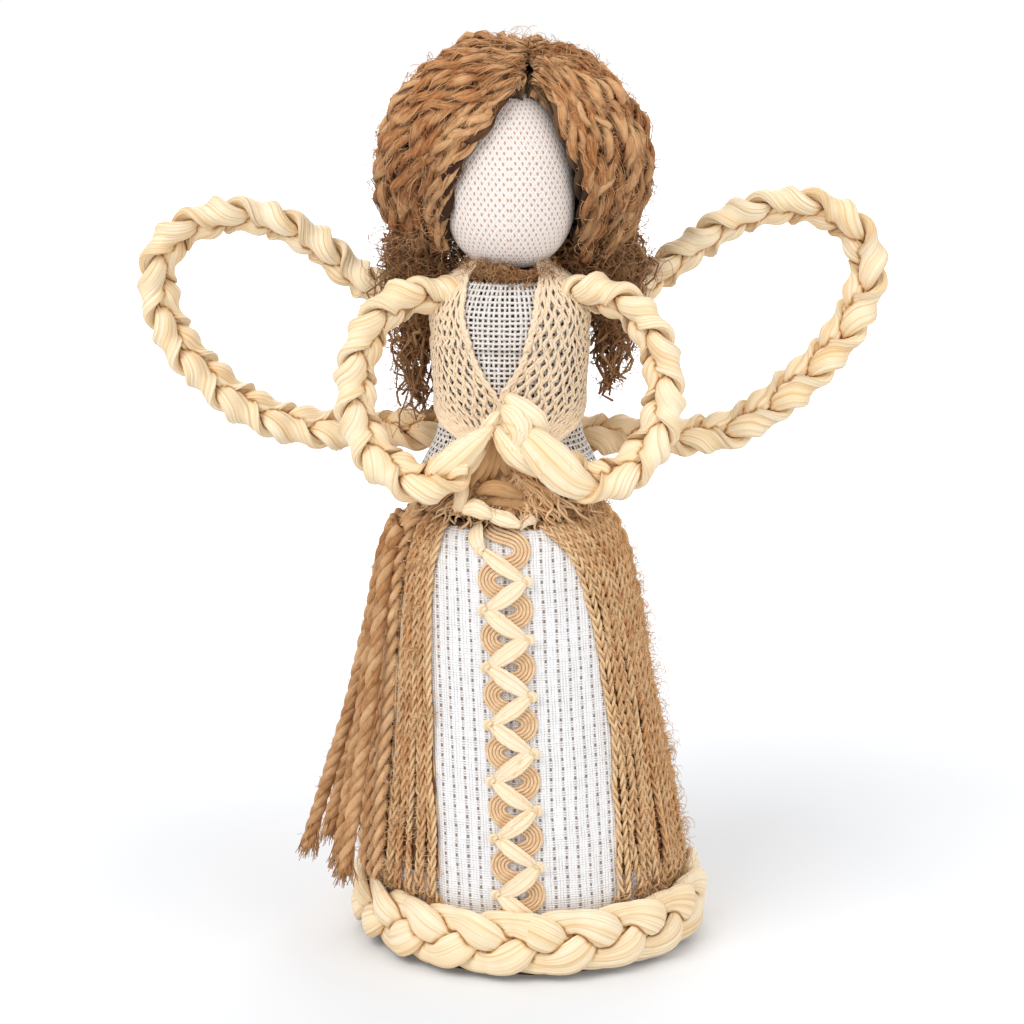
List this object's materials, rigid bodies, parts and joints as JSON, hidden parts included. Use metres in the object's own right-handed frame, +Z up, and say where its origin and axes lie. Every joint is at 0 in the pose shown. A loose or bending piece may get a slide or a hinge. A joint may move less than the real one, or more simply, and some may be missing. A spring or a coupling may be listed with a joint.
{
  "type": "corn husk doll",
  "caption": "Rustic faceless angel doll with braided husk wings, arms and hem, a jute and cloth skirt, lace vest and jute hair.",
  "frame": {"origin": "centre of the flat underside of the base disc, where the doll stands", "axes": "+Z up through the head, -Y towards the side that the doll faces, +X towards its left hand"},
  "size_m": [0.2087, 0.1002, 0.2472],
  "materials": {
    "husk": "dry, satin, fine lengthwise fibres",
    "jute": "hairy twisted yarn",
    "hair_jute": "loose jute locks",
    "white_cloth": "open even weave",
    "lace": "cotton crochet lace",
    "gimp": "corded braid trim",
    "raffia": "flat natural ribbon",
    "knit": "fine dotted knit",
    "card": "brown card",
    "wood": "plain dowel",
    "stuffing": "tight cotton wadding"
  },
  "bodies": {
    "root": {"base_disc": "card", "skirt_cone": "card", "body_stick": "wood", "torso": "stuffing", "head_ball": "stuffing", "head_cover": "knit", "neck_binding": "jute", "waist_band": "jute", "bodice_cloth": "white_cloth", "lace_left": "lace", "lace_right": "lace", "skirt_cloth": "white_cloth", "trim_gimp": "gimp", "trim_lacing": "raffia", "overskirt_right": "jute", "overskirt_left": "jute", "overskirt_back": "jute", "loose_cord_1": "jute", "loose_cord_2": "jute", "loose_cord_3": "jute", "loose_cord_4": "jute", "loose_cord_5": "jute", "hem_strand_1": "husk", "hem_strand_2": "husk", "hem_strand_3": "husk", "arm_left_strand_1": "husk", "arm_left_strand_2": "husk", "arm_left_strand_3": "husk", "arm_right_strand_1": "husk", "arm_right_strand_2": "husk", "arm_right_strand_3": "husk", "hand_left": "husk", "hand_right": "husk", "wing_left_strand_1": "husk", "wing_left_strand_2": "husk", "wing_left_strand_3": "husk", "wing_right_strand_1": "husk", "wing_right_strand_2": "husk", "wing_right_strand_3": "husk", "wing_strip": "husk", "waist_knot": "husk", "knot_tail_left": "husk", "knot_tail_right": "husk", "hair_left": "hair_jute", "hair_right": "hair_jute", "hair_tuft_left": "hair_jute", "hair_tuft_right": "hair_jute"}
  },
  "joints": []
}
